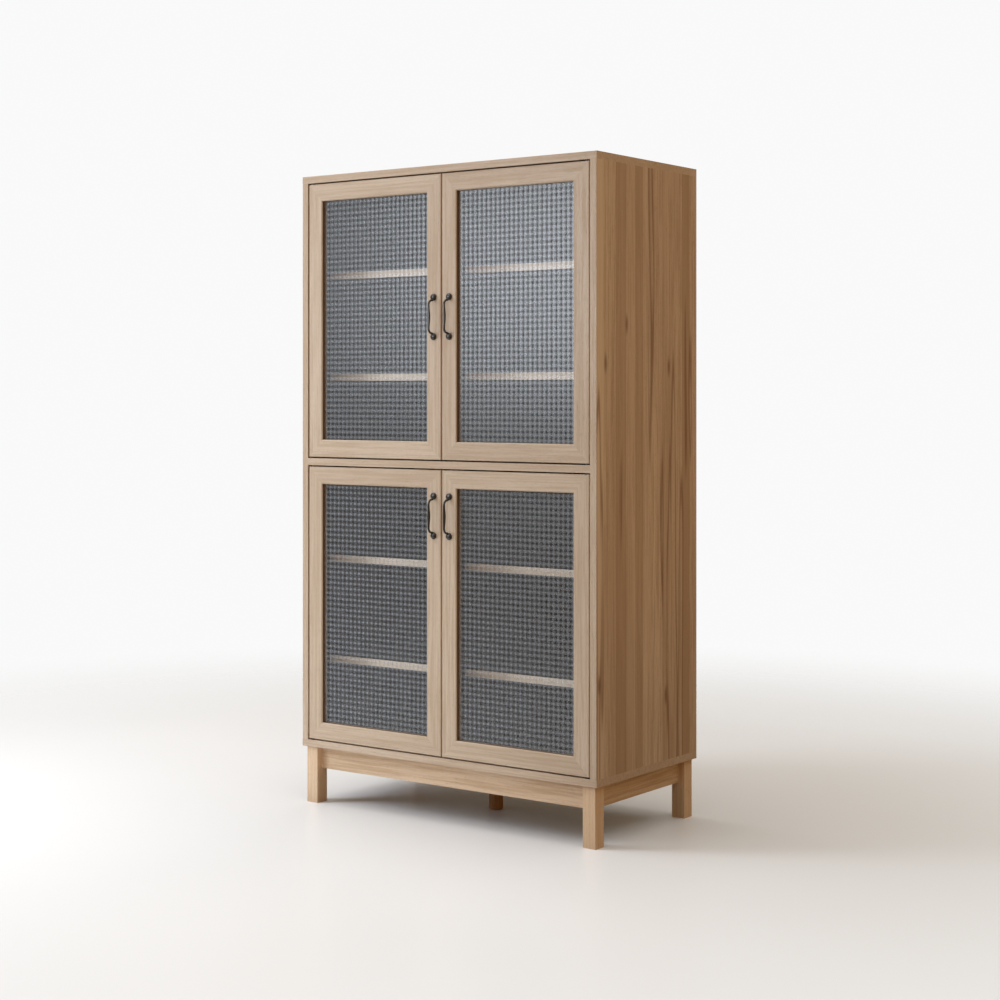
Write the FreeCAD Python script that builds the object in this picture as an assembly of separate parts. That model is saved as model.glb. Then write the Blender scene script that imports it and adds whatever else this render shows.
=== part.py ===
"""Tall storage cabinet on a leg frame, with four glazed doors and adjustable shelves.

Two bays of shelves side by side on two levels stand on an open base of square legs
and aprons. Each door is a mitred frame round a pane of cross-reeded glass, and hangs
on two pivot pins that turn in bushes let into the boards above and below it.

X runs to the right, Y from front to back and Z up from the floor. The origin lies on
the floor under the middle of the whole object, handles included. All sizes are in
millimetres.
"""

import FreeCAD, Part
import math
import os

from FreeCAD import Vector

RIGHT = Vector(1, 0, 0)
BACK = Vector(0, 1, 0)
UP = Vector(0, 0, 1)
SQUARE_TURN = 90.0
SAME_DIRECTION = 1e-6

# Carcass
carcass_width = 900.0
carcass_depth = 450.0
total_height = 1600.0
base_height = 143.0
board = 18.0
edge_round = 1.0
divider_setback = 24.0
cut_overrun = 2.0

# Back panels, held in grooves
back_thickness = 5.0
back_inset = 12.0
groove_depth = 6.0
groove_clearance = 0.1
groove_end_gap = 0.5

# Shelves and the pins that carry them
shelf_thickness = 18.0
shelf_setback = 85.0
shelf_end_gap = 0.7
shelf_back_gap = 0.7
upper_bay_low_shelf = 197.0
upper_bay_high_shelf = 459.0
lower_bay_low_shelf = 190.0
lower_bay_high_shelf = 450.0
pin_shank_diameter = 5.0
pin_head_diameter = 8.0
pin_head_flat = 1.0
pin_head_length = 9.0
pin_in_board = 7.0
pin_from_shelf_edge = 45.0

# Legs and aprons
leg_size = 36.0
leg_inset = 8.0
leg_arris = 1.5
apron_thickness = 18.0
apron_height = 56.0
apron_recess = 18.0
centre_leg_diameter = 36.0
centre_leg_bevel = 2.0
corner_block_side = 60.0
corner_block_height = 36.0
corner_block_toe = 6.0
base_screw_diameter = 5.0
base_screw_head_diameter = 9.0
base_screw_head_height = 3.0
base_screw_in_board = 12.0
base_screw_inward_share = 1 / 3
hanger_bolt_diameter = 8.0
hanger_bolt_in_leg = 30.0
hanger_bolt_in_board = 13.0

# Door frames
door_gap = 3.5
door_recess = 1.0
door_thickness = 20.0
frame_width = 44.0
frame_arris = 1.2
frame_bevel = 2.5
lip_thickness = 9.5
rebate_width = 8.0
bead_bevel = 2.0

# Cross-reeded glass
glass_thickness = 5.0
glass_edge_gap = 1.0
reed_pitch = 13.9
reed_depth = 0.8

# Pivot pins and their bushes
pivot_from_edge = 8.0
pivot_from_front = 6.5
pivot_diameter = 5.0
pivot_in_door = 24.0
pivot_end_gap = 0.5
pivot_clearance = 0.05
bush_barrel_diameter = 9.0
bush_barrel_length = 7.0
bush_flange_diameter = 12.0
bush_lift = 0.2

# Magnetic catches and the plates that they hold
catch_width = 26.0
catch_height = 13.0
catch_depth = 22.0
catch_side_gap = 2.0
catch_round = 1.5
catch_air_gap = 0.3
pole_width = 18.0
pole_height = 1.6
pole_spacing = 5.0
pole_depth = 14.0
strike_thickness = 1.2
strike_height = 9.0
strike_from_edge = 1.0

# Bow handles
handle_centres = 96.0
upper_handle_above_middle = 0.0
lower_handle_below_top = 111.5
foot_diameter = 17.0
foot_rim = 1.6
foot_height = 7.5
bar_rise = 4.0
bar_foot_bend = 3.0
bar_riser_offset = 8.0
bar_shoulder_bend = 12.0
bar_shoulder_reach = 20.2
bar_middle_reach = 19.0
bar_thin_diameter = 5.2
bar_thick_diameter = 7.2
grip_steps = 6
handle_screw_diameter = 4.0
handle_screw_in_foot = 5.0
handle_screw_head_diameter = 8.0
handle_screw_head_height = 2.4

# Cam locks that pull the boards together
cam_diameter = 15.0
cam_depth = 12.5
cam_setback = 34.0
cam_slot_width = 2.0
cam_slot_length = 9.0
cam_slot_depth = 2.5
cam_bolt_diameter = 7.0
cam_bolt_in_board = 11.0
cam_from_front = 60.0
cam_from_back = 60.0

# Places that follow from the sizes above
handle_reach = bar_shoulder_reach + bar_thin_diameter / 2
handle_out = handle_reach - door_recess
total_depth = carcass_depth + handle_out
half_width = carcass_width / 2
inner_half_width = half_width - board
half_board = board / 2
y_front = handle_out - total_depth / 2
y_back = y_front + carcass_depth
y_panel_front = y_back - back_inset - back_thickness
z_carcass = base_height
z_lower_floor = z_carcass + board
bay_height = (total_height - base_height - 3 * board) / 2
z_lower_ceiling = z_lower_floor + bay_height
z_upper_floor = z_lower_ceiling + board
z_upper_ceiling = z_upper_floor + bay_height
door_width = inner_half_width - door_gap - door_gap / 2
door_height = bay_height - 2 * door_gap
y_door_front = y_front + door_recess
y_door_back = y_door_front + door_thickness
y_pivot = y_door_front + pivot_from_front
x_pivot = inner_half_width - door_gap - pivot_from_edge
x_catch = half_board + catch_side_gap + catch_width / 2

os.makedirs("parts", exist_ok=True)


def block(x0, x1, y0, y1, z0, z1):
    """A rectangular solid between two corners."""
    return Part.makeBox(x1 - x0, y1 - y0, z1 - z0, Vector(x0, y0, z0))


def rod(diameter, length, start, direction):
    """A round solid that starts at a point and runs along a direction."""
    return Part.makeCylinder(diameter / 2, length, start, direction)


def prism(points, run):
    """A closed outline pushed along a vector."""
    wire = Part.makePolygon(points + points[:1])
    return Part.Face(wire).extrude(run)


def edges_along(shape, direction, test=None):
    """The straight edges that run along a direction, and pass a test of their middle."""
    found = []
    for edge in shape.Edges:
        if edge.Curve.TypeId != "Part::GeomLine":
            continue
        if abs(abs(edge.tangentAt(edge.FirstParameter).dot(direction)) - 1) > SAME_DIRECTION:
            continue
        if test is None or test(edge.CenterOfMass):
            found.append(edge)
    return found


def save(node, *solids):
    """Write one named piece, or a group of like pieces, as a STEP file."""
    shape = solids[0] if len(solids) == 1 else Part.makeCompound(list(solids))
    shape.exportStep("parts/" + node + ".step")


# Carcass boards

def back_groove(z0, z1):
    """The slot that one back panel's edges run in, as a solid to cut away."""
    reach = inner_half_width + groove_depth
    return block(-reach, reach, y_panel_front - groove_clearance,
                 y_panel_front + back_thickness + groove_clearance, z0 - groove_depth, z1 + groove_depth)


def bay_grooves():
    """The slots of the lower and the upper back panel."""
    return [back_groove(z_lower_floor, z_lower_ceiling), back_groove(z_upper_floor, z_upper_ceiling)]


def bush_seat(x, z, direction):
    """The round hole that one bush's barrel sits in."""
    return rod(bush_barrel_diameter, bush_barrel_length, Vector(x, y_pivot, z), direction)


def bush_seats(z, direction):
    """The left and right hole in one face of a board."""
    return [bush_seat(side * x_pivot, z, direction) for side in (-1, 1)]


def horizontal_board(half, z0, front_edges):
    """One full-depth board, with its long front edges eased where they show."""
    shape = block(-half, half, y_front, y_back, z0, z0 + board)
    eased = edges_along(shape, RIGHT, lambda p: p.y < y_front + half_board and front_edges(p.z))
    return shape.makeFillet(edge_round, eased)


def top_panel():
    shape = horizontal_board(half_width, z_upper_ceiling, lambda z: z > z_upper_ceiling + half_board)
    cuts = bay_grooves() + bush_seats(z_upper_ceiling, UP)
    cuts += [bolt for _, bolt in side_cams("upper")]
    return shape.cut(cuts)


def bottom_panel():
    shape = horizontal_board(half_width, z_carcass, lambda z: z < z_carcass + half_board)
    cuts = bay_grooves() + bush_seats(z_lower_floor, -UP)
    cuts += [bolt for _, bolt in side_cams("lower")]
    cuts += [base_screw(x, y) for x, y in base_screw_places()] + [hanger_bolt()]
    return shape.cut(cuts)


def middle_panel():
    shape = block(-inner_half_width, inner_half_width, y_front, y_back, z_lower_ceiling, z_upper_floor)
    cuts = bay_grooves() + bush_seats(z_lower_ceiling, UP) + bush_seats(z_upper_floor, -UP)
    for cam, bolt in middle_cams():
        cuts += [cam_recess(cam), bolt]
    return shape.cut(cuts)


def side_panel(side):
    """The left (-1) or right (+1) upright board."""
    x0, x1 = sorted((side * inner_half_width, side * half_width))
    shape = block(x0, x1, y_front, y_back, z_lower_floor, z_upper_ceiling)
    outer = edges_along(shape, UP, lambda p: p.y < y_front + half_board and abs(p.x) > inner_half_width + half_board)
    shape = shape.makeFillet(edge_round, outer)
    cuts = bay_grooves() + [pin_hole(x, y, z, turn) for x, y, z, turn in pin_places() if x * side > 0
                            and abs(x) > inner_half_width - half_board]
    for level in ("lower", "upper"):
        for cam, bolt in side_cams(level):
            cuts += [cam_recess(cam), bolt]
    for cam, bolt in middle_cams():
        cuts.append(bolt)
    return shape.cut(cuts)


def divider(z0, z1):
    """The upright board between the left and right bay of one level."""
    shape = block(-half_board, half_board, y_front + divider_setback, y_panel_front, z0, z1)
    holes = [pin_hole(x, y, z, turn) for x, y, z, turn in pin_places() if abs(x) < x_catch]
    return shape.cut(holes)


def back_panel(z0, z1):
    """One thin back, which stops just short of the bottom of its grooves."""
    reach = inner_half_width + groove_depth - groove_end_gap
    rise = groove_depth - groove_end_gap
    return block(-reach, reach, y_panel_front, y_panel_front + back_thickness, z0 - rise, z1 + rise)


# Cam locks: a round lock let into one board, on a bolt that comes out of the other

def cam_set(lock_start, lock_direction, bolt_start, bolt_direction):
    """One lock with its screwdriver slot, and its bolt."""
    lock = rod(cam_diameter, cam_depth, lock_start, lock_direction)
    bolt = rod(cam_bolt_diameter, cam_bolt_in_board + cam_setback, bolt_start, bolt_direction)
    across = lock_direction.cross(bolt_direction)
    slot = block(-cam_slot_length / 2, cam_slot_length / 2, -cam_slot_width / 2, cam_slot_width / 2,
                 0, cam_slot_depth)
    turn = FreeCAD.Rotation(across, bolt_direction, lock_direction, "ZXY")
    slot.Placement = FreeCAD.Placement(lock_start, turn)
    return lock.cut([bolt, slot]), bolt


def cam_recess(lock):
    """The plain round hole that a lock fills."""
    face = max((f for f in lock.Faces if f.Surface.TypeId == "Part::GeomCylinder"
                and abs(f.Surface.Radius - cam_diameter / 2) < cam_slot_width / 2), key=lambda f: f.Area)
    axis = face.Surface.Axis
    middle = face.Surface.Center
    reach = [(v.Point - middle).dot(axis) for v in lock.Vertexes]
    return rod(cam_diameter, max(reach) - min(reach), middle + axis * min(reach), axis)


def cam_rows():
    return (y_front + cam_from_front, y_back - cam_from_back)


def side_cams(level):
    """The locks in both side boards that hold the top or the bottom panel."""
    z_joint = z_upper_ceiling if level == "upper" else z_lower_floor
    away = UP if level == "upper" else -UP
    sets = []
    for side in (-1, 1):
        for y in cam_rows():
            lock_start = Vector(side * inner_half_width, y, z_joint) - away * cam_setback
            bolt_start = Vector(side * (half_width - half_board), y, z_joint) + away * cam_bolt_in_board
            sets.append(cam_set(lock_start, RIGHT * side, bolt_start, -away))
    return sets


def middle_cams():
    """The locks under the middle panel that hold it between the side boards."""
    sets = []
    for side in (-1, 1):
        for y in cam_rows():
            lock_start = Vector(side * (inner_half_width - cam_setback), y, z_lower_ceiling)
            bolt_start = Vector(side * (inner_half_width + cam_bolt_in_board), y, z_lower_ceiling + half_board)
            sets.append(cam_set(lock_start, UP, bolt_start, RIGHT * -side))
    return sets


def cam_fittings():
    solids = []
    for lock, bolt in side_cams("lower") + side_cams("upper") + middle_cams():
        solids += [lock, bolt]
    return solids


# Shelves and their pins

def shelf_levels(level):
    """The underside of each shelf on one level."""
    if level == "lower":
        return (z_lower_floor + lower_bay_low_shelf, z_lower_floor + lower_bay_high_shelf)
    return (z_upper_floor + upper_bay_low_shelf, z_upper_floor + upper_bay_high_shelf)


def shelf_depth_range():
    return (y_front + shelf_setback, y_panel_front - shelf_back_gap)


def shelves(side, level):
    """The two loose shelves of one bay."""
    x0, x1 = sorted((side * (half_board + shelf_end_gap), side * (inner_half_width - shelf_end_gap)))
    y0, y1 = shelf_depth_range()
    boards = []
    for z in shelf_levels(level):
        shape = block(x0, x1, y0, y1, z, z + shelf_thickness)
        front = edges_along(shape, RIGHT, lambda p: p.y < y0 + shelf_thickness)
        boards.append(shape.makeFillet(edge_round, front))
    return boards


def pin_places():
    """Where each pin leaves its board: a point on the board's face, and the way it points."""
    y0, y1 = shelf_depth_range()
    places = []
    for level in ("lower", "upper"):
        for z in shelf_levels(level):
            for y in (y0 + pin_from_shelf_edge, y1 - pin_from_shelf_edge):
                z_pin = z - pin_head_diameter / 2 + pin_head_flat
                for side in (-1, 1):
                    places.append((side * inner_half_width, y, z_pin, -side))
                    places.append((side * half_board, y, z_pin, side))
    return places


def pin_hole(x, y, z, turn):
    return rod(pin_shank_diameter, pin_in_board, Vector(x, y, z), RIGHT * -turn)


def shelf_pin(x, y, z, turn):
    """A pin with a round head, flattened on top where the shelf lies on it."""
    shank = rod(pin_shank_diameter, pin_in_board, Vector(x, y, z), RIGHT * -turn)
    head = rod(pin_head_diameter, pin_head_length, Vector(x, y, z), RIGHT * turn)
    z_flat = z + pin_head_diameter / 2 - pin_head_flat
    reach = pin_head_length + cut_overrun
    above = block(x - reach, x + reach, y - pin_head_diameter, y + pin_head_diameter,
                  z_flat, z_flat + pin_head_diameter)
    return head.cut(above).fuse(shank)


# Base frame

def leg(side, end):
    """A square leg: side is -1 left or 1 right, end is -1 front or 1 back."""
    x_outer = side * (half_width - leg_inset)
    y_outer = y_front + leg_inset if end < 0 else y_back - leg_inset
    x0, x1 = sorted((x_outer, x_outer - side * leg_size))
    y0, y1 = sorted((y_outer, y_outer - end * leg_size))
    shape = block(x0, x1, y0, y1, 0, base_height)
    shown = edges_along(shape, UP, lambda p: min(abs(p.x - x_outer), abs(p.y - y_outer)) < leg_size / 2)
    return shape.makeChamfer(leg_arris, shown)


def apron_along_front(end):
    """The front (-1) or rear (1) apron, between two legs."""
    reach = half_width - leg_inset - leg_size
    y_face = y_front + leg_inset + apron_recess if end < 0 else y_back - leg_inset - apron_recess
    y0, y1 = sorted((y_face, y_face - end * apron_thickness))
    return block(-reach, reach, y0, y1, base_height - apron_height, base_height)


def apron_along_side(side):
    """The left (-1) or right (1) apron."""
    x_face = side * (half_width - leg_inset - apron_recess)
    x0, x1 = sorted((x_face, x_face - side * apron_thickness))
    reach = leg_inset + leg_size
    return block(x0, x1, y_front + reach, y_back - reach, base_height - apron_height, base_height)


def block_corner(side, end):
    """Where the inner faces of two aprons would meet."""
    reach = leg_inset + apron_recess + apron_thickness
    y = y_front + reach if end < 0 else y_back - reach
    return side * (half_width - reach), y


def corner_block(side, end):
    """A three-cornered block glued between two aprons, clear of the leg, under the bottom panel."""
    x, y = block_corner(side, end)
    z = base_height - corner_block_height
    toe = corner_block_toe
    long = corner_block_side
    points = [Vector(x, y, z), Vector(x - side * long, y, z), Vector(x - side * long, y - end * toe, z),
              Vector(x - side * toe, y - end * long, z), Vector(x, y - end * long, z)]
    shape = prism(points, UP * corner_block_height)
    beside_leg = leg_size - apron_recess - apron_thickness
    if beside_leg > 0:
        x0, x1 = sorted((x, x - side * beside_leg))
        y0, y1 = sorted((y, y - end * beside_leg))
        shape = shape.cut(block(x0, x1, y0, y1, z, base_height))
    return shape.cut(base_screw(*screw_place(side, end)))


def screw_place(side, end):
    x, y = block_corner(side, end)
    inward = corner_block_side * base_screw_inward_share
    return x - side * inward, y - end * inward


def base_screw_places():
    return [screw_place(side, end) for side in (-1, 1) for end in (-1, 1)]


def base_screw(x, y):
    """A screw up through a corner block into the bottom panel, its head let into the block."""
    z = base_height - corner_block_height
    shank = rod(base_screw_diameter, corner_block_height + base_screw_in_board, Vector(x, y, z), UP)
    head = rod(base_screw_head_diameter, base_screw_head_height, Vector(x, y, z), UP)
    return shank.fuse(head)


def hanger_bolt():
    """The bolt between the round support leg and the bottom panel."""
    y = (y_front + y_back) / 2
    length = hanger_bolt_in_leg + hanger_bolt_in_board
    return rod(hanger_bolt_diameter, length, Vector(0, y, base_height - hanger_bolt_in_leg), UP)


def centre_support_leg():
    y = (y_front + y_back) / 2
    shape = rod(centre_leg_diameter, base_height, Vector(0, y, 0), UP)
    bottom = [e for e in shape.Edges if e.CenterOfMass.z < base_height / 2 and e.Closed and len(e.Vertexes) == 1
              and e.BoundBox.ZLength < cut_overrun]
    return shape.makeChamfer(centre_leg_bevel, bottom).cut(hanger_bolt())


# Doors, made for a door hung on its left edge: x from the hinge edge, y from the front face,
# z from the bottom edge

def mitred(profile, length, outer, inner):
    """A profile pushed along x and cut at 45 degrees from its outer to its inner line."""
    run = prism([Vector(0, y, z) for y, z in profile], RIGHT * length)
    ends = [(outer, outer), (length - outer, outer), (length - inner, inner), (inner, inner)]
    wedge = prism([Vector(x, -cut_overrun, z) for x, z in ends], BACK * (door_thickness + 2 * cut_overrun))
    return run.common(wedge)


def frame_bar(length):
    """One side of a door frame, its outer edge on z = 0."""
    back = door_thickness
    inner = frame_width
    rebate = inner - rebate_width
    profile = [(frame_arris, 0), (back, 0), (back, rebate), (lip_thickness, rebate), (lip_thickness, inner),
               (frame_bevel, inner), (0, inner - frame_bevel), (0, frame_arris)]
    return mitred(profile, length, 0, inner)


def bead_bar(length):
    """One glazing bead, which holds the glass in the rebate of the frame side with its outer edge on z = 0."""
    front = lip_thickness + glass_thickness
    inner = frame_width
    rebate = inner - rebate_width
    profile = [(front, rebate), (door_thickness, rebate), (door_thickness, inner - bead_bevel),
               (door_thickness - bead_bevel, inner), (front, inner)]
    return mitred(profile, length, rebate, inner)


def on_side(shape, place):
    """Turn a bar made along the bottom edge to its own side of the door."""
    turned = shape.copy()
    if place == "top":
        turned.rotate(Vector(0, 0, 0), BACK, 2 * SQUARE_TURN)
        turned.translate(Vector(door_width, 0, door_height))
    if place == "hinge":
        turned.rotate(Vector(0, 0, 0), BACK, SQUARE_TURN)
        turned.translate(Vector(0, 0, door_height))
    if place == "meeting":
        turned.rotate(Vector(0, 0, 0), BACK, -SQUARE_TURN)
        turned.translate(Vector(door_width, 0, 0))
    return turned


def four_sides(bar):
    """The four bars of a frame, from the function that makes one."""
    rails = bar(door_width)
    stiles = bar(door_height)
    return {"bottom": on_side(rails, "bottom"), "top": on_side(rails, "top"),
            "hinge": on_side(stiles, "hinge"), "meeting": on_side(stiles, "meeting")}


def pivot_pins():
    """The two steel pins at the hinge edge, each set into the door and standing out of it."""
    out = door_gap + bush_barrel_length - pivot_end_gap
    length = pivot_in_door + out
    low = rod(pivot_diameter, length, Vector(pivot_from_edge, pivot_from_front, -out), UP)
    high = rod(pivot_diameter, length, Vector(pivot_from_edge, pivot_from_front, door_height - pivot_in_door), UP)
    return [low, high]


def reeds(start, stop, crest, valley, swing):
    """A run of round ridges along one face: edges from start to stop, with a flat before and after."""
    count = max(1, round((stop - start) / reed_pitch))
    pitch = (stop - start) / count
    edges = []
    for i in range(count):
        a = start + i * pitch
        edges.append(Part.Arc(swing(a, valley), swing(a + pitch / 2, crest), swing(a + pitch, valley)).toShape())
    return edges


def reeded_slab(low, high, start, stop, crest, other, swing, run):
    """A slab with ridges on one face between start and stop, and flat rims beside them."""
    valley = crest + (reed_depth if other > crest else -reed_depth)
    corners = [swing(stop, valley), swing(stop, crest), swing(high, crest), swing(high, other),
               swing(low, other), swing(low, crest), swing(start, crest), swing(start, valley)]
    edges = reeds(start, stop, crest, valley, swing)
    edges += [Part.LineSegment(a, b).toShape() for a, b in zip(corners, corners[1:])]
    return Part.Face(Part.Wire(edges)).extrude(run)


def glass_pane():
    """Glass with upright ridges in front and level ones behind, flat where the frame holds it."""
    rim = frame_width - rebate_width + glass_edge_gap
    front = lip_thickness
    back = lip_thickness + glass_thickness
    upright = reeded_slab(rim, door_width - rim, frame_width, door_width - frame_width, front, back,
                          lambda s, t: Vector(s, t, rim), UP * (door_height - 2 * rim))
    level = reeded_slab(rim, door_height - rim, frame_width, door_height - frame_width, back, front,
                        lambda s, t: Vector(rim, t, s), RIGHT * (door_width - 2 * rim))
    opening = block(frame_width, door_width - frame_width, front, back, frame_width, door_height - frame_width)
    plate = block(rim, door_width - rim, front, back, rim, door_height - rim)
    return plate.cut(opening.cut(upright.common(level)))


def disc(reach, z, turn):
    """The bar's round section at its ends, facing down the bar once it is turned about x."""
    face = Part.Face(Part.Wire(Part.Circle(Vector(0, 0, 0), UP, bar_thin_diameter / 2).toShape()))
    face.Placement = FreeCAD.Placement(Vector(0, -reach, z), FreeCAD.Rotation(RIGHT, turn))
    return face


def bar_end():
    """The upper end of a handle's bar: out of the foot, straight out from the door, and round to the grip."""
    middle_of_foot = handle_centres / 2
    riser_z = middle_of_foot - bar_riser_offset
    bend_z = riser_z + bar_foot_bend
    riser_start = bar_rise + bar_foot_bend
    riser_stop = bar_shoulder_reach - bar_shoulder_bend
    stub = rod(bar_thin_diameter, middle_of_foot - bend_z, Vector(0, -bar_rise, middle_of_foot), -UP)
    riser = rod(bar_thin_diameter, riser_stop - riser_start, Vector(0, -riser_start, riser_z), -BACK)
    foot_bend = disc(bar_rise, bend_z, 0).revolve(Vector(0, -riser_start, bend_z), RIGHT, -SQUARE_TURN)
    shoulder_pivot = Vector(0, -riser_stop, riser_z - bar_shoulder_bend)
    shoulder = disc(riser_stop, riser_z, SQUARE_TURN).revolve(shoulder_pivot, RIGHT, SQUARE_TURN)
    return stub.fuse([foot_bend, riser, shoulder])


def bar_grip():
    """The long part of the bar between the bends, thicker and a little nearer the door in its middle."""
    half = handle_centres / 2 - bar_riser_offset - bar_shoulder_bend
    dip = bar_shoulder_reach - bar_middle_reach
    swell = bar_thick_diameter - bar_thin_diameter
    rings = []
    for step in range(-grip_steps, grip_steps + 1):
        share = step / grip_steps
        blend = (1 + math.cos(share * math.pi)) / 2
        lean = math.degrees(math.atan(dip * math.pi / 2 * math.sin(share * math.pi) / half))
        ring = Part.Wire(Part.Circle(Vector(0, 0, 0), UP, (bar_thin_diameter + swell * blend) / 2).toShape())
        ring.Placement = FreeCAD.Placement(Vector(0, dip * blend - bar_shoulder_reach, half * share),
                                           FreeCAD.Rotation(RIGHT, lean))
        rings.append(ring)
    return Part.makeLoft(rings, True, True)


def handle_bar():
    """The whole bar, from foot to foot."""
    upper = bar_end()
    lower = upper.mirror(Vector(0, 0, 0), UP)
    return bar_grip().fuse([upper, lower])


def handle_foot(z):
    """A round foot with a domed face."""
    radius = foot_diameter / 2
    dome = foot_height - foot_rim
    dome_radius = (radius ** 2 + dome ** 2) / (2 * dome)
    middle = foot_height - dome_radius
    half_angle = math.asin(min(1.0, radius / dome_radius)) / 2
    shoulder = Vector(dome_radius * math.sin(half_angle), -middle - dome_radius * math.cos(half_angle), 0)
    arc = Part.Arc(Vector(radius, -foot_rim, 0), shoulder, Vector(0, -foot_height, 0)).toShape()
    points = [Vector(0, -foot_height, 0), Vector(0, 0, 0), Vector(radius, 0, 0), Vector(radius, -foot_rim, 0)]
    lines = [Part.LineSegment(a, b).toShape() for a, b in zip(points, points[1:])]
    shape = Part.Face(Part.Wire(lines + [arc])).revolve(Vector(0, 0, 0), BACK, 4 * SQUARE_TURN)
    shape.translate(UP * z)
    return shape


def handle_screw(z):
    """A pan-head screw from behind the stile into a foot, about the handle's own middle."""
    shank = rod(handle_screw_diameter, handle_screw_in_foot + door_thickness,
                Vector(0, -handle_screw_in_foot, z), BACK)
    head = rod(handle_screw_head_diameter, handle_screw_head_height, Vector(0, door_thickness, z), BACK)
    rim = [e for e in head.Edges if e.CenterOfMass.y > door_thickness + handle_screw_head_height / 2
           and e.BoundBox.YLength < handle_screw_head_height / 2]
    return shank.fuse(head.makeFillet(handle_screw_head_height / 2, rim))


def handle_parts(centre):
    """The handle, and its two screws, at a height on the meeting stile."""
    feet = [handle_foot(z) for z in (-handle_centres / 2, handle_centres / 2)]
    screws = [handle_screw(z) for z in (-handle_centres / 2, handle_centres / 2)]
    handle = handle_bar().fuse(feet).removeSplitter().cut(screws)
    for shape in [handle] + screws:
        shape.translate(Vector(door_width - frame_width / 2, 0, centre))
    return handle, screws


def strike_plate():
    """The steel plate behind the top of the meeting edge, which the catch holds."""
    x = door_width + door_gap / 2 - x_catch
    top = door_height - strike_from_edge
    return block(x - catch_width / 2, x + catch_width / 2, door_thickness, door_thickness + strike_thickness,
                 top - strike_height, top)


def door_pieces(handle_height):
    """Every piece of one door, by name."""
    frame = four_sides(frame_bar)
    beads = four_sides(bead_bar)
    pins = pivot_pins()
    handle, screws = handle_parts(handle_height)
    return {"hinge_stile": [frame["hinge"].cut(pins)], "meeting_stile": [frame["meeting"].cut(screws)],
            "top_rail": [frame["top"].cut(pins)], "bottom_rail": [frame["bottom"].cut(pins)],
            "glass": [glass_pane()], "glazing_beads": list(beads.values()), "handle": [handle],
            "fittings": pins + [strike_plate()] + screws}


def hang(shape, side, z0):
    """Move a left-hung door piece to the left (-1) opening, or mirror it into the right (1) one."""
    placed = shape.copy()
    if side > 0:
        placed = placed.mirror(Vector(0, 0, 0), RIGHT)
    placed.translate(Vector(side * (inner_half_width - door_gap), y_door_front, z0))
    return placed


def bush(x, z, direction):
    """A flanged bush: its barrel in the board, its flange in the gap over or under the door."""
    barrel = rod(bush_barrel_diameter, bush_barrel_length, Vector(x, y_pivot, z), direction)
    flange = rod(bush_flange_diameter, door_gap - bush_lift, Vector(x, y_pivot, z), -direction)
    bore = rod(pivot_diameter + 2 * pivot_clearance, bush_barrel_length + door_gap + cut_overrun,
               Vector(x, y_pivot, z) - direction * door_gap, direction)
    return barrel.fuse(flange).cut(bore)


def pivot_bushes():
    ends = [(z_lower_floor, -UP), (z_lower_ceiling, UP), (z_upper_floor, -UP), (z_upper_ceiling, UP)]
    return [bush(side * x_pivot, z, direction) for z, direction in ends for side in (-1, 1)]


def magnetic_catch(side, z):
    """A catch under a board: a housing with the ends of two steel poles in its face."""
    y0 = y_door_back + strike_thickness + catch_air_gap
    x = side * x_catch
    shape = block(x - catch_width / 2, x + catch_width / 2, y0, y0 + catch_depth, z - catch_height, z)
    lower = edges_along(shape, BACK, lambda p: p.z < z - catch_height / 2)
    shape = shape.makeFillet(catch_round, lower)
    poles = []
    for lift in (-pole_spacing / 2, pole_spacing / 2):
        z_pole = z - catch_height / 2 + lift
        poles.append(block(x - pole_width / 2, x + pole_width / 2, y0, y0 + pole_depth,
                           z_pole - pole_height / 2, z_pole + pole_height / 2))
    return [shape.cut(poles)] + poles


SIDES = (("left", -1), ("right", 1))
ENDS = (("front", -1), ("rear", 1))
LEVELS = (("lower", z_lower_floor, z_lower_ceiling), ("upper", z_upper_floor, z_upper_ceiling))
HANDLE_HEIGHTS = {"lower": door_height - lower_handle_below_top,
                  "upper": door_height / 2 + upper_handle_above_middle}


def build_carcass():
    save("top_panel", top_panel())
    save("bottom_panel", bottom_panel())
    save("middle_panel", middle_panel())
    for name, side in SIDES:
        save(name + "_side_panel", side_panel(side))
    for level, z0, z1 in LEVELS:
        save(level + "_divider", divider(z0, z1))
        save(level + "_back_panel", back_panel(z0, z1))
        for name, side in SIDES:
            save(level + "_" + name + "_shelves", *shelves(side, level))
    save("shelf_pins", *[shelf_pin(*place) for place in pin_places()])
    save("cam_fittings", *cam_fittings())
    save("pivot_bushes", *pivot_bushes())
    catches = []
    for z in (z_lower_ceiling, z_upper_ceiling):
        for _, side in SIDES:
            catches += magnetic_catch(side, z)
    save("magnetic_catches", *catches)


def build_base():
    for end_name, end in ENDS:
        for name, side in SIDES:
            save(end_name + "_" + name + "_leg", leg(side, end))
        save(end_name + "_apron", apron_along_front(end))
    for name, side in SIDES:
        save(name + "_apron", apron_along_side(side))
    save("centre_support_leg", centre_support_leg())
    save("corner_blocks", *[corner_block(side, end) for _, side in SIDES for _, end in ENDS])
    save("base_fasteners", *[base_screw(x, y) for x, y in base_screw_places()], hanger_bolt())


def build_doors():
    for level, z0, _ in LEVELS:
        pieces = door_pieces(HANDLE_HEIGHTS[level])
        for name, side in SIDES:
            for piece, solids in pieces.items():
                placed = [hang(solid, side, z0 + door_gap) for solid in solids]
                save("_".join((level, name, "door", piece)), *placed)


build_carcass()
build_base()
build_doors()
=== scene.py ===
"""Looks of the storage cabinet: oak boards, door frames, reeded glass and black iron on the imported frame.

Lengths are in metres, and colours written as 0 to 255 are those of the screen.
"""

import math

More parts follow.
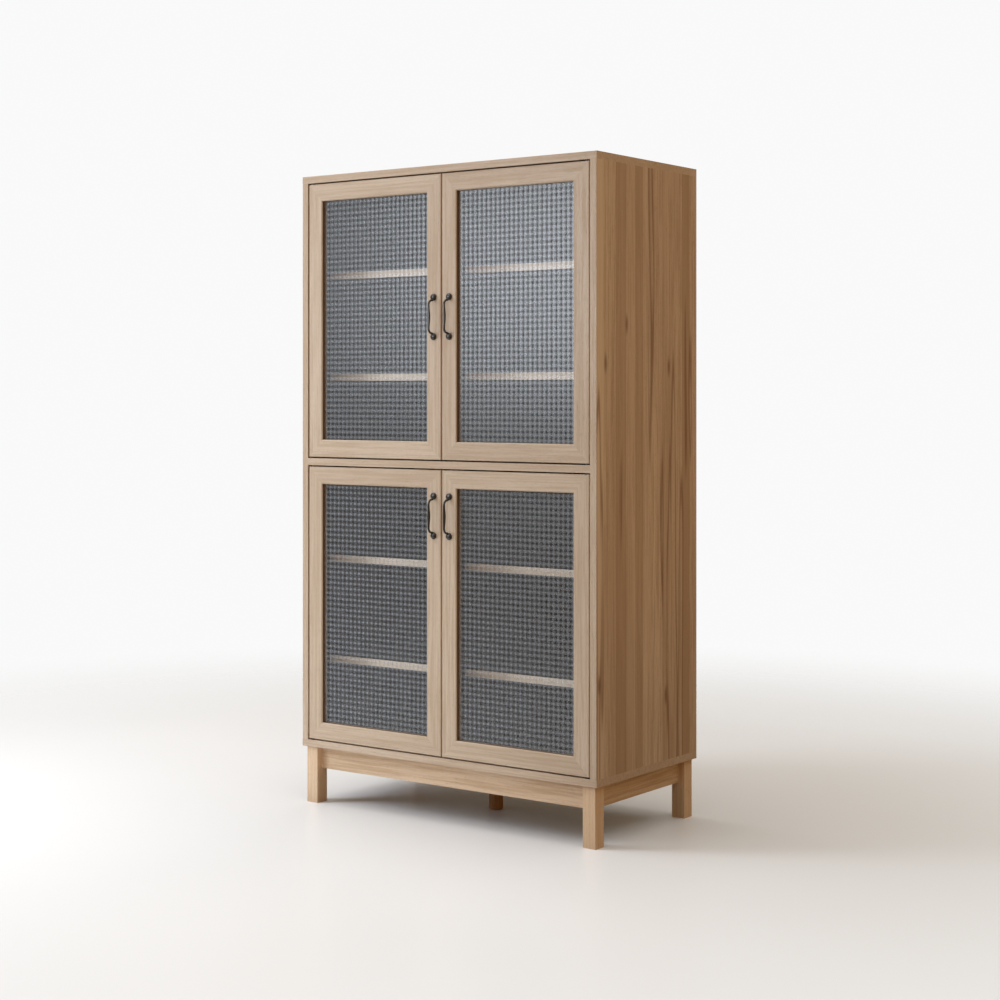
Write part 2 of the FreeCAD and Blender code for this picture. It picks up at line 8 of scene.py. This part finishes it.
import bpy
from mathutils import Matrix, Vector


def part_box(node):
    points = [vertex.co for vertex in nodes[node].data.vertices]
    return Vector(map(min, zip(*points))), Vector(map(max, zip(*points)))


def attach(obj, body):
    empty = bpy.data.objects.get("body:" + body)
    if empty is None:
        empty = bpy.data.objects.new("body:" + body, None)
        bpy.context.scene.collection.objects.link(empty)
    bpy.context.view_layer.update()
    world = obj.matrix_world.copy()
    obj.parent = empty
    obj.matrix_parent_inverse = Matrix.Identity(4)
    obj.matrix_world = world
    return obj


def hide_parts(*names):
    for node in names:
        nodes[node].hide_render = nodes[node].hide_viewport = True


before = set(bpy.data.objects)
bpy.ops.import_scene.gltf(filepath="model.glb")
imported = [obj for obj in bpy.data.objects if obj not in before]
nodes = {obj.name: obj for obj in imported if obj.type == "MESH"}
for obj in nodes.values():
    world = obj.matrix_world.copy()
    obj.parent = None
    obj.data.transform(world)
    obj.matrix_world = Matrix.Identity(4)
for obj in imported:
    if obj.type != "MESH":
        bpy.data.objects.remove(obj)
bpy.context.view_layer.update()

DOORS = ("upper_left", "upper_right", "lower_left", "lower_right")

# Reeds of the panes
reed_zone_inset = 0.007
reed_pitch = 0.0135
reed_depth = 0.0008
reed_segments = 10

# Painted light that the reeds gather, as shares of a reed and of full light
crest_half_share = 0.06
upright_half_share = 0.42
level_half_share = 0.48
level_share = 0.8
upright_share = 0.7

# Glass
# The painted light on the reeds has its own cover and tone, standing in for light the reeds gather and
# reflect
clear_cover = 0.16
painted_reed_light_cover = 0.33
back_cover = 0.06
clear_tone = (0.05, 0.053, 0.058, 1)
painted_reed_light_tone = (0.57, 0.62, 0.68, 1)
glass_index = 2.0
glass_gloss = 1.0
glass_roughness = 0.33

# Which faces look into the cabinet, and which look into a door's opening; both get painted shade
face_margin = 0.0002
inner_shade_setback = 0.024
inner_shade_back_margin = 0.001
lip_shade_setback = 0.0038
lip_shade_fade = 0.0006
shelf_shade_depth = 0.0006
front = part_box("left_side_panel")[0].y
inner_half_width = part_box("right_side_panel")[0].x + face_margin
inner_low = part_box("bottom_panel")[1].z - face_margin
inner_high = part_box("top_panel")[0].z + face_margin
inner_shade_start = front + inner_shade_setback
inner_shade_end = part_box("upper_back_panel")[1].y - inner_shade_back_margin
lip_shade_start = front + lip_shade_setback
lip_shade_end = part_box("upper_left_door_glass")[1].y
# Painted shade: dark tones of the faces inside the cabinet, and of the door frames' lips
painted_inner_shade_dark = (42, 37, 32)
painted_inner_shade_light = (52, 46, 40)
painted_lip_shade_tone = (0.30, 0.21, 0.15, 1)

# Tones of each wood, then how strongly it shows its streaks
WOODS = {
    "door": {"base": (200, 181, 160), "dark": (182, 159, 134), "light": (210, 193, 172), "streak": 0.6},
    "edge": {"base": (198, 178, 156), "dark": (182, 158, 132), "light": (208, 190, 170), "streak": 0.6},
    "side": {"base": (198, 175, 152), "dark": (170, 142, 116), "light": (216, 196, 172), "streak": 0.6},
    "shelf": {"base": (245, 231, 212), "dark": (232, 213, 190), "light": (249, 238, 223), "streak": 0.5},
    "leg": {"base": (229, 200, 167), "dark": (214, 181, 145), "light": (236, 211, 182), "streak": 0.6},
    # The centre leg's darker tone is painted shade for its place under the cabinet
    "painted_shade_leg": {"base": (176, 128, 88), "dark": (150, 104, 68), "light": (190, 144, 104), "streak": 0.6},
    "apron": {"base": (226, 200, 170), "dark": (202, 171, 136), "light": (234, 211, 184), "streak": 0.8},
}

# Grain: how many waves to the metre along it and across it
broad_waves = (0.9, 13, 13)
streak_waves = (4.5, 150, 150)
fibre_waves = (14, 620, 620)
pore_waves = (70, 1700, 1700)
# Waves of the painted shade inside the cabinet
inner_shade_waves = (2, 30, 30)
seed_step = (1.731, 0.517, 0.293)
fibre_share = 0.3
pore_share = 0.35
pore_dark_share = 0.62
fibre_height_share = 0.4
grain_depth = 0.0001
wood_gloss = 0.35
wood_rough = 0.62
wood_smooth = 0.48

# Strips, heart lines and knots of the side boards
right_side_seed = 4.761
strip_width = 0.042
strip_line_share = 0.025
dark_strip_share = 0.85
light_strip_share = 0.75
heart = (112, 72, 46)
heart_share = 0.6
heart_waves = (0.4, 11, 11)
heart_shift = (3.0, 0.0, 0.0)
heart_level = 0.62
heart_reach = 0.024
knots_along = 2.2
knots_across = 8.0
knot_core = 0.01
knot_reach = 0.075
knot_share = 0.65

# Metal and plastic: screen colour, roughness, metallic, waves to the metre, depth of the grit and gloss
PLAINS = {
    "black_iron": ((15, 15, 16), 0.31, 0.0, 900, 0.00004, 0.85),
    "steel": ((176, 178, 180), 0.3, 1.0, 1500, 0.00001, 0.5),
    "nylon": ((48, 42, 38), 0.5, 0.0, 1200, 0.00002, 0.5),
    "catch_plastic": ((150, 118, 88), 0.45, 0.0, 1200, 0.00002, 0.5),
}
plain_dark_share = 0.75
plain_coarse_share = 1 / 9
plain_rough_swing = 0.06

# Camera, fitted to the photograph's perspective
camera_place = (2.8233, front - 3.61865, 1.0391)
camera_turn = 36.18
camera_level = 90
camera_lens = 68.15
camera_sensor = 36
camera_shift = -0.104

# Soft lights: the sheen shows only as a reflection, above all in the upper right pane
LIGHTS = {
    "key": {"place": (-2.3, -1.9, 1.55), "target": (0.0, -0.2, 0.8), "size": (1.0, 2.1),
            "brightness": 8.8, "colour": (0.85, 0.93, 1.05), "diffuse": True, "gloss": False},
    "sheen": {"place": (-0.25, -1.45, 1.42), "target": (0.22, -0.2, 1.32), "size": (1.15, 0.72),
              "brightness": 5.6, "colour": (0.89, 0.96, 1.05), "diffuse": False, "gloss": True},
    "top": {"place": (-1.2, -0.8, 4.6), "target": (-1.2, -0.9, 0.0), "size": (3.0, 3.0),
            "brightness": 2.5, "colour": (1.0, 1.0, 1.0), "diffuse": True, "gloss": True},
}

# Fill light from all round, dim and warm towards the right, and the backdrop as the camera sees it
fill_strength = 0.45
backdrop_strength = 0.95
backdrop_tone = (1, 1, 1, 1)
fill_above = (2.4, 2.3, 2.15, 1)
fill_left = (0.50, 0.42, 0.33, 1)
fill_right = (1.18, 0.74, 0.36, 1)
fill_turn = (-0.3, 0.6)
fill_level = (0.25, 0.75)
fill_rise = (0.55, 0.85)

# Floor, which throws dim warm light up beside and under the cabinet
floor_half = 12.0
floor_solid = 0.9
floor_fade = 3.3
floor_waves = (0.8, 0.8, 0.8)
floor_dark = (240, 241, 242)
floor_light = (248, 249, 250)
floor_roughness = 0.35
floor_warmth = (0.12, 0.06, 0.02, 1)
warm_beside = (0.2, 0.6)
warm_under = (-0.35, -0.15)


def feed(tree, socket, value):
    """Link a socket, or set it to a plain value."""
    if isinstance(value, bpy.types.NodeSocket):
        tree.links.new(value, socket)
    elif value is not None:
        socket.default_value = value


def maths(tree, operation, first, second=None, third=None):
    node = tree.nodes.new("ShaderNodeMath")
    node.operation = operation
    for socket, value in zip(node.inputs, (first, second, third)):
        feed(tree, socket, value)
    return node.outputs[0]


def product(tree, first, *others):
    """Values multiplied together, one after another."""
    for other in others:
        first = maths(tree, "MULTIPLY", first, other)
    return first


def between(tree, value, low, high):
    """1 where a value lies between two levels, 0 elsewhere."""
    return maths(tree, "COMPARE", value, (low + high) / 2, (high - low) / 2)


def span(tree, value, low, high, to_low=0.0, to_high=1.0):
    """A value's place between two levels, smoothed and held inside them."""
    node = tree.nodes.new("ShaderNodeMapRange")
    node.interpolation_type = "SMOOTHSTEP"
    feed(tree, node.inputs["Value"], value)
    node.inputs["From Min"].default_value = low
    node.inputs["From Max"].default_value = high
    node.inputs["To Min"].default_value = to_low
    node.inputs["To Max"].default_value = to_high
    return node.outputs[0]


def blend(tree, share, first, second, kind="MIX"):
    """Two colours mixed, or the first one multiplied by the second."""
    node = tree.nodes.new("ShaderNodeMix")
    node.data_type = "RGBA"
    node.blend_type = kind
    sockets = {socket.identifier: socket for socket in node.inputs}
    feed(tree, sockets["Factor_Float"], share)
    feed(tree, sockets["A_Color"], first)
    feed(tree, sockets["B_Color"], second)
    return next(socket for socket in node.outputs if socket.identifier == "Result_Color")


def split(tree, vector):
    """The three coordinates of a vector."""
    node = tree.nodes.new("ShaderNodeSeparateXYZ")
    feed(tree, node.inputs[0], vector)
    return node.outputs


def join(tree, *values):
    """A vector made of up to three coordinates."""
    node = tree.nodes.new("ShaderNodeCombineXYZ")
    for socket, value in zip(node.inputs, values):
        feed(tree, socket, value)
    return node.outputs[0]


def stretch(tree, vector, scale, shift=(0.0, 0.0, 0.0)):
    """Coordinates times a scale on each axis, plus a shift."""
    node = tree.nodes.new("ShaderNodeVectorMath")
    node.operation = "MULTIPLY_ADD"
    feed(tree, node.inputs[0], vector)
    node.inputs[1].default_value = scale
    node.inputs[2].default_value = shift
    return node.outputs[0]


def noise(tree, vector, detail=2.0, roughness=0.5):
    node = tree.nodes.new("ShaderNodeTexNoise")
    feed(tree, node.inputs["Vector"], vector)
    node.inputs["Scale"].default_value = 1.0
    node.inputs["Detail"].default_value = detail
    node.inputs["Roughness"].default_value = roughness
    node.inputs["Distortion"].default_value = 0.0
    return node.outputs[0]


def cells(tree, dimensions, value, feature="F1"):
    """Random cells along a line or over a plane."""
    node = tree.nodes.new("ShaderNodeTexVoronoi")
    node.voronoi_dimensions = dimensions
    node.feature = feature
    feed(tree, node.inputs["W" if dimensions == "1D" else "Vector"], value)
    node.inputs["Scale"].default_value = 1.0
    return node.outputs


def random_shares(tree, colour):
    """Three random shares out of a cell's colour."""
    node = tree.nodes.new("ShaderNodeSeparateColor")
    feed(tree, node.inputs[0], colour)
    return node.outputs


def bump(tree, height, distance):
    node = tree.nodes.new("ShaderNodeBump")
    node.inputs["Strength"].default_value = 1.0
    node.inputs["Distance"].default_value = distance
    feed(tree, node.inputs["Height"], height)
    return node.outputs[0]


def linear(red, green, blue):
    """A colour of the screen, as the shader needs it."""
    shares = [level / 255 for level in (red, green, blue)]
    return [s / 12.92 if s <= 0.04045 else ((s + 0.055) / 1.055) ** 2.4 for s in shares] + [1.0]


def start(name):
    """An empty material with one Principled shader."""
    material = bpy.data.materials.new(name)
    material.use_nodes = True
    tree = material.node_tree
    tree.nodes.clear()
    shader = tree.nodes.new("ShaderNodeBsdfPrincipled")
    output = tree.nodes.new("ShaderNodeOutputMaterial")
    tree.links.new(shader.outputs[0], output.inputs["Surface"])
    return material, tree, shader


def object_place(tree):
    """Where a point of the surface lies in the part's frame."""
    return tree.nodes.new("ShaderNodeTexCoord").outputs["Object"]


def along_grain(tree, axis, seed):
    """Coordinates with the grain on the first axis, moved so that no two pieces look alike."""
    parts = split(tree, object_place(tree))
    order = {"x": (0, 2, 1), "y": (1, 2, 0), "z": (2, 0, 1)}[axis]
    turned = join(tree, *[parts[index] for index in order])
    return stretch(tree, turned, (1, 1, 1), tuple(seed * step for step in seed_step))


def painted_inner_shade_tone(tree, share):
    """Painted shade: the dark tone of the faces inside the cabinet."""
    return blend(tree, share, linear(*painted_inner_shade_dark), linear(*painted_inner_shade_light))


def inner_shade_share(tree):
    """1 on the faces that look into the cabinet, where painted shade goes, 0 on the outer faces and front
    edges.
    """
    x, y, z = split(tree, object_place(tree))
    across = maths(tree, "LESS_THAN", maths(tree, "ABSOLUTE", x), inner_half_width)
    upward = between(tree, z, inner_low, inner_high)
    deep = between(tree, y, inner_shade_start, inner_shade_end)
    return product(tree, across, upward, deep)


def lip_shade_share(tree, door):
    """1 where a door's frame faces the opening in front of the glass, which gets painted shade as a dark
    line.
    """
    stiles = [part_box(door + "_door_" + stile) for stile in ("hinge_stile", "meeting_stile")]
    left = min(high.x for low, high in stiles) - face_margin
    right = max(low.x for low, high in stiles) + face_margin
    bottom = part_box(door + "_door_bottom_rail")[1].z - face_margin
    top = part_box(door + "_door_top_rail")[0].z + face_margin
    x, y, z = split(tree, object_place(tree))
    deep = span(tree, y, lip_shade_start - lip_shade_fade, lip_shade_start)
    in_front = maths(tree, "LESS_THAN", y, lip_shade_end)
    return product(tree, between(tree, x, left, right), between(tree, z, bottom, top), deep, in_front)


def wood_tone(tree, grain, look):
    """Colour of one wood: broad tone, streaks along the grain, fine fibres and open pores."""
    base, dark, light = (linear(*look[key]) for key in ("base", "dark", "light"))
    broad = noise(tree, stretch(tree, grain, broad_waves), 2.0)
    streaks = noise(tree, stretch(tree, grain, streak_waves), 4.0, 0.65)
    fibres = noise(tree, stretch(tree, grain, fibre_waves), 3.0, 0.6)
    pores = noise(tree, stretch(tree, grain, pore_waves), 1.0)
    tone = blend(tree, span(tree, broad, 0.35, 0.68), base, light)
    tone = blend(tree, span(tree, streaks, 0.36, 0.60, look["streak"], 0.0), tone, dark)
    tone = blend(tree, span(tree, fibres, 0.30, 0.60, fibre_share, 0.0), tone, dark)
    pits = span(tree, pores, 0.62, 0.72)
    deep = linear(*[pore_dark_share * level for level in look["dark"]])
    tone = blend(tree, maths(tree, "MULTIPLY", pits, pore_share), tone, deep)
    height = maths(tree, "SUBTRACT", maths(tree, "MULTIPLY", fibres, fibre_height_share), pits)
    return tone, streaks, height


def strips(tree, grain, tone, look):
    """Glued strips of different tone, with dark lines at some of their seams."""
    place = maths(tree, "DIVIDE", split(tree, grain)[2], strip_width)
    edge = cells(tree, "1D", place, "DISTANCE_TO_EDGE")["Distance"]
    darker, lighter, lined = random_shares(tree, cells(tree, "1D", place)["Color"])
    tone = blend(tree, span(tree, darker, 0.4, 0.75, 0.0, dark_strip_share), tone, linear(*look["dark"]))
    tone = blend(tree, span(tree, lighter, 0.45, 0.8, 0.0, light_strip_share), tone, linear(*look["light"]))
    seam = maths(tree, "MULTIPLY", span(tree, edge, 0.0, strip_line_share, heart_share, 0.0), lined)
    return blend(tree, seam, tone, linear(*heart))


def heart_lines(tree, grain, tone):
    """Dark heart lines that wander along the grain."""
    wander = noise(tree, stretch(tree, grain, heart_waves, heart_shift), 3.0)
    band = maths(tree, "ABSOLUTE", maths(tree, "SUBTRACT", wander, heart_level))
    return blend(tree, span(tree, band, 0.0, heart_reach, heart_share, 0.0), tone, linear(*heart))


def knots(tree, grain, tone):
    """A few small knots, long in the grain."""
    along, _, across = split(tree, grain)
    place = (maths(tree, "MULTIPLY", along, knots_along), maths(tree, "MULTIPLY", across, knots_across))
    spots = cells(tree, "2D", join(tree, *place))
    picked = span(tree, random_shares(tree, spots["Color"])[0], 0.5, 0.54)
    knot = span(tree, spots["Distance"], knot_core, knot_reach, knot_share, 0.0)
    return blend(tree, maths(tree, "MULTIPLY", knot, picked), tone, linear(*heart))


def side_board(tree, grain, tone, look):
    """A side board's face, with the plain front edge of the other boards."""
    tone = knots(tree, grain, heart_lines(tree, grain, strips(tree, grain, tone, look)))
    edge_tone = wood_tone(tree, grain, WOODS["edge"])[0]
    at_front = maths(tree, "LESS_THAN", split(tree, object_place(tree))[1], front + face_margin)
    return blend(tree, at_front, tone, edge_tone)


def wood(name, kind, axis, seed):
    """One piece of wood, with painted shade where it looks into the cabinet and on a door frame's lip."""
    look = WOODS[kind]
    material, tree, shader = start(name)
    grain = along_grain(tree, axis, seed)
    tone, streaks, height = wood_tone(tree, grain, look)
    if kind == "side":
        tone = side_board(tree, grain, tone, look)
    # Painted shade on the faces that look into the cabinet
    if name.endswith(("_panel", "_divider")):
        broad = noise(tree, stretch(tree, grain, inner_shade_waves))
        tone = blend(tree, inner_shade_share(tree), tone, painted_inner_shade_tone(tree, broad))
    # Painted shade on the shelves' faces behind their front edges
    if name.endswith("_shelves"):
        behind = split(tree, object_place(tree))[1]
        faces = maths(tree, "GREATER_THAN", behind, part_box(name)[0].y + shelf_shade_depth)
        tone = blend(tree, faces, tone, painted_inner_shade_tone(tree, streaks))
    # Painted shade on the frame's lip that faces the opening
    if kind == "door":
        lip_shade_mask = lip_shade_share(tree, name.split("_door_")[0])
        tone = blend(tree, lip_shade_mask, tone, blend(tree, lip_shade_mask, tone, painted_lip_shade_tone, "MULTIPLY"))
    feed(tree, shader.inputs["Base Color"], tone)
    feed(tree, shader.inputs["Roughness"], span(tree, streaks, 0.3, 0.7, wood_rough, wood_smooth))
    shader.inputs["Specular IOR Level"].default_value = wood_gloss
    feed(tree, shader.inputs["Normal"], bump(tree, height, grain_depth))
    return material


def reed_ridge(tree, place, low, high, half_share):
    """1 along the middle of each reed, fading towards the valleys, for reeds between two places."""
    first = low + reed_zone_inset
    run = high - low - 2 * reed_zone_inset
    pitch = run / round(run / reed_pitch)
    turned = maths(tree, "DIVIDE", maths(tree, "SUBTRACT", place, first), pitch)
    from_middle = maths(tree, "ABSOLUTE", maths(tree, "SUBTRACT", maths(tree, "FRACT", turned), 0.5))
    return span(tree, from_middle, crest_half_share, half_share, 1.0, 0.0)


def gathered_light(tree, low, high):
    """Painted light: 1 where an upright and a level reed cross, less along the reeds, and 0 on the pane's
    back.
    """
    x, y, z = split(tree, object_place(tree))
    upright = reed_ridge(tree, x, low.x, high.x, upright_half_share)
    level = reed_ridge(tree, z, low.z, high.z, level_half_share)
    along_share = maths(tree, "MULTIPLY_ADD", upright, 1 - level_share, level_share)
    along = maths(tree, "MULTIPLY", level, along_share)
    beside = product(tree, upright, upright_share, maths(tree, "SUBTRACT", 1.0, level))
    in_front = maths(tree, "LESS_THAN", y, (low.y + high.y) / 2)
    return maths(tree, "MULTIPLY", maths(tree, "ADD", along, beside), in_front), in_front


def glass_material(door):
    """Reeded glass: clear in the valleys, with painted light on the reeds and where they cross, standing in
    for the light they gather and reflect.
    """
    material, tree, shader = start(door + "_glass")
    painted_reed_light, in_front = gathered_light(tree, *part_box(door + "_door_glass"))
    feed(tree, shader.inputs["Base Color"], blend(tree, painted_reed_light, clear_tone, painted_reed_light_tone))
    plain_cover = maths(tree, "MULTIPLY_ADD", in_front, clear_cover - back_cover, back_cover)
    cover = maths(tree, "MULTIPLY_ADD", painted_reed_light, painted_reed_light_cover - clear_cover, plain_cover)
    feed(tree, shader.inputs["Alpha"], cover)
    shader.inputs["IOR"].default_value = glass_index
    shader.inputs["Specular IOR Level"].default_value = glass_gloss
    shader.inputs["Roughness"].default_value = glass_roughness
    return material


def plain(name):
    """Metal or plastic with a fine uneven surface."""
    colour, roughness, metallic, waves, depth, gloss = PLAINS[name]
    material, tree, shader = start(name)
    place = object_place(tree)
    fine = noise(tree, stretch(tree, place, [waves] * 3), 3.0)
    coarse = noise(tree, stretch(tree, place, [waves * plain_coarse_share] * 3))
    light = linear(*colour)
    dark = [plain_dark_share * level for level in light[:3]] + [1.0]
    feed(tree, shader.inputs["Base Color"], blend(tree, span(tree, coarse, 0.3, 0.7), dark, light))
    smooth, rough = roughness - plain_rough_swing, roughness + plain_rough_swing
    feed(tree, shader.inputs["Roughness"], span(tree, fine, 0.3, 0.7, smooth, rough))
    shader.inputs["Metallic"].default_value = metallic
    shader.inputs["Specular IOR Level"].default_value = gloss
    feed(tree, shader.inputs["Normal"], bump(tree, fine, depth))
    return material


def finish_node(name, material):
    """Give one CAD node its material."""
    slots = nodes[name].material_slots
    if not slots:
        nodes[name].data.materials.append(material)
    for slot in slots:
        slot.material = material


def reed_profile(low, high, face, inward):
    """Places across one face of the pane and how deep each lies, with the numbers of the valleys."""
    first = low + reed_zone_inset
    last = high - reed_zone_inset
    count = round((last - first) / reed_pitch)
    pitch = (last - first) / count
    radius = (pitch ** 2 / 4 + reed_depth ** 2) / (2 * reed_depth)
    points = [(low, face), (first, face)]
    valleys = [1]
    for reed in range(count):
        for step in range(0 if reed == 0 else 1, reed_segments + 1):
            from_middle = pitch * (step / reed_segments - 0.5)
            drop = radius - math.sqrt(radius ** 2 - from_middle ** 2)
            points.append((first + pitch * (reed + step / reed_segments), face + inward * drop))
            if step in (0, reed_segments):
                valleys.append(len(points) - 1)
    points += [(last, face), (high, face)]
    valleys.append(len(points) - 2)
    return points, valleys


def pane_faces(wide, tall):
    """The faces of a pane: its front, its back, then its bottom, top, left and right."""
    behind = 2 * wide
    faces = [(i, i + 1, wide + i + 1, wide + i) for i in range(wide - 1)]
    faces += [(behind + i, behind + i + 1, behind + tall + i + 1, behind + tall + i) for i in range(tall - 1)]
    smooth_count = len(faces)
    faces.append(list(range(wide - 1, -1, -1)) + [behind, behind + tall])
    faces.append(list(range(wide, 2 * wide)) + [behind + 2 * tall - 1, behind + tall - 1])
    faces.append([0, wide] + list(range(behind + tall - 1, behind - 1, -1)))
    faces.append([2 * wide - 1, wide - 1] + list(range(behind + tall, behind + 2 * tall)))
    return faces, smooth_count


def reeded_pane(door):
    """The pane with round reeds: upright ones in front, level ones behind."""
    low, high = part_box(door + "_door_glass")
    across, across_valleys = reed_profile(low.x, high.x, low.y, 1)
    upward, upward_valleys = reed_profile(low.z, high.z, high.y, -1)
    wide, tall = len(across), len(upward)
    vertices = [(x, y, z) for z in (low.z, high.z) for x, y in across]
    vertices += [(x, y, z) for x in (low.x, high.x) for z, y in upward]
    faces, smooth_count = pane_faces(wide, tall)
    mesh = bpy.data.meshes.new(door + "_reeded_pane")
    mesh.from_pydata(vertices, [], faces)
    mesh.validate()
    for index, face in enumerate(mesh.polygons):
        face.use_smooth = index < smooth_count
    sharp = {(i, wide + i) for i in across_valleys}
    sharp |= {(2 * wide + i, 2 * wide + tall + i) for i in upward_valleys}
    for edge in mesh.edges:
        if tuple(sorted(edge.vertices)) in sharp:
            edge.use_edge_sharp = True
    pane = bpy.data.objects.new(door + "_reeded_pane", mesh)
    bpy.context.scene.collection.objects.link(pane)
    return pane


def dress_wood():
    """Every wooden node gets a material of its own, with its grain along its length."""
    plan = {"top_panel": ("edge", "x"), "bottom_panel": ("edge", "x"), "middle_panel": ("edge", "x"),
            "left_side_panel": ("side", "z"), "right_side_panel": ("side", "z"),
            "upper_divider": ("shelf", "z"), "lower_divider": ("shelf", "z"),
            "upper_back_panel": ("shelf", "z"), "lower_back_panel": ("shelf", "z"),
            "front_apron": ("apron", "x"), "rear_apron": ("apron", "x"),
            "left_apron": ("apron", "y"), "right_apron": ("apron", "y"), "corner_blocks": ("apron", "x"),
            "front_left_leg": ("leg", "z"), "front_right_leg": ("leg", "z"),
            "rear_left_leg": ("leg", "z"), "rear_right_leg": ("leg", "z"), "centre_support_leg": ("painted_shade_leg", "z")}
    door_pieces = {"hinge_stile": "z", "meeting_stile": "z", "top_rail": "x", "bottom_rail": "x",
                   "glazing_beads": "z"}
    for door in DOORS:
        plan[door + "_shelves"] = ("shelf", "x")
        for piece, axis in door_pieces.items():
            plan[door + "_door_" + piece] = ("door", axis)
    for count, (name, (kind, axis)) in enumerate(plan.items(), 1):
        seed = right_side_seed if name == "right_side_panel" else count
        finish_node(name, wood(name, kind, axis, seed))


def dress_metal():
    iron, steel, nylon, plastic = (plain(name) for name in PLAINS)
    for door in DOORS:
        finish_node(door + "_door_handle", iron)
        finish_node(door + "_door_fittings", steel)
    for name in ("shelf_pins", "cam_fittings", "base_fasteners"):
        finish_node(name, steel)
    finish_node("pivot_bushes", nylon)
    finish_node("magnetic_catches", plastic)


def dress_glass():
    """Each pane of the frame is replaced by one with smooth reeds."""
    for door in DOORS:
        node = door + "_door_glass"
        glass = glass_material(door)
        pane = reeded_pane(door)
        pane.data.materials.append(glass)
        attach(pane, door + "_door")
        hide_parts(node)
        finish_node(node, glass)


def floor_material():
    """A pale floor that fades into the backdrop far from the cabinet."""
    material, tree, shader = start("floor")
    place = object_place(tree)
    x, y, _ = split(tree, place)
    pale = blend(tree, noise(tree, stretch(tree, place, floor_waves), 3.0),
                 linear(*floor_dark), linear(*floor_light))
    near = maths(tree, "MAXIMUM", span(tree, x, *warm_beside), span(tree, y, *warm_under))
    warm = blend(tree, near, pale, floor_warmth)
    by_camera = tree.nodes.new("ShaderNodeLightPath").outputs["Is Camera Ray"]
    feed(tree, shader.inputs["Base Color"], blend(tree, by_camera, warm, pale))
    shader.inputs["Roughness"].default_value = floor_roughness
    distance = tree.nodes.new("ShaderNodeVectorMath")
    distance.operation = "LENGTH"
    feed(tree, distance.inputs[0], place)
    clear = tree.nodes.new("ShaderNodeBsdfTransparent")
    mix = tree.nodes.new("ShaderNodeMixShader")
    feed(tree, mix.inputs[0], span(tree, distance.outputs["Value"], floor_solid, floor_fade))
    tree.links.new(shader.outputs[0], mix.inputs[1])
    tree.links.new(clear.outputs[0], mix.inputs[2])
    tree.links.new(mix.outputs[0], tree.nodes["Material Output"].inputs["Surface"])
    return material


def floor():
    half = floor_half
    corners = [(-half, -half, 0), (half, -half, 0), (half, half, 0), (-half, half, 0)]
    mesh = bpy.data.meshes.new("floor")
    mesh.from_pydata(corners, [], [(0, 1, 2, 3)])
    mesh.materials.append(floor_material())
    plane = bpy.data.objects.new("floor", mesh)
    bpy.context.scene.collection.objects.link(plane)


def backdrop():
    """Dim fill light from all round, with a plain bright backdrop where the camera looks."""
    studio = bpy.data.worlds.new("studio")
    bpy.context.scene.world = studio
    studio.use_nodes = True
    tree = studio.node_tree
    tree.nodes.clear()
    x, _, z = split(tree, tree.nodes.new("ShaderNodeTexCoord").outputs["Generated"])
    level = span(tree, maths(tree, "ABSOLUTE", z), *fill_level, 1.0, 0.0)
    warm = maths(tree, "MULTIPLY", span(tree, x, *fill_turn), level)
    sides = blend(tree, warm, fill_left, fill_right)
    shine = tree.nodes.new("ShaderNodeBackground")
    feed(tree, shine.inputs[0], blend(tree, span(tree, z, *fill_rise), sides, fill_above))
    shine.inputs[1].default_value = fill_strength
    seen = tree.nodes.new("ShaderNodeBackground")
    seen.inputs[0].default_value = backdrop_tone
    seen.inputs[1].default_value = backdrop_strength
    by_camera = tree.nodes.new("ShaderNodeLightPath").outputs["Is Camera Ray"]
    mix = tree.nodes.new("ShaderNodeMixShader")
    output = tree.nodes.new("ShaderNodeOutputWorld")
    tree.links.new(by_camera, mix.inputs[0])
    tree.links.new(shine.outputs[0], mix.inputs[1])
    tree.links.new(seen.outputs[0], mix.inputs[2])
    tree.links.new(mix.outputs[0], output.inputs[0])


def soft_light(name, light):
    """A flat soft light that shines from one place towards another."""
    width, height = light["size"]
    lamp = bpy.data.lights.new(name, "AREA")
    lamp.shape = "RECTANGLE"
    lamp.size = width
    lamp.size_y = height
    lamp.energy = light["brightness"] * math.pi * width * height
    lamp.color = light["colour"]
    holder = bpy.data.objects.new(name, lamp)
    holder.location = light["place"]
    aim = Vector(light["target"]) - Vector(light["place"])
    holder.rotation_euler = aim.to_track_quat("-Z", "Y").to_euler()
    holder.visible_camera = False
    holder.visible_diffuse = light["diffuse"]
    holder.visible_glossy = light["gloss"]
    bpy.context.scene.collection.objects.link(holder)


def camera():
    lens = bpy.data.cameras.new("camera")
    lens.lens = camera_lens
    lens.sensor_width = camera_sensor
    lens.shift_y = camera_shift
    eye = bpy.data.objects.new("camera", lens)
    eye.location = camera_place
    eye.rotation_euler = (math.radians(camera_level), 0, math.radians(camera_turn))
    bpy.context.scene.collection.objects.link(eye)
    bpy.context.scene.camera = eye


dress_wood()
dress_metal()
dress_glass()
floor()
backdrop()
for light_name, light_look in LIGHTS.items():
    soft_light(light_name, light_look)
camera()
bpy.context.scene.view_settings.view_transform = "Standard"
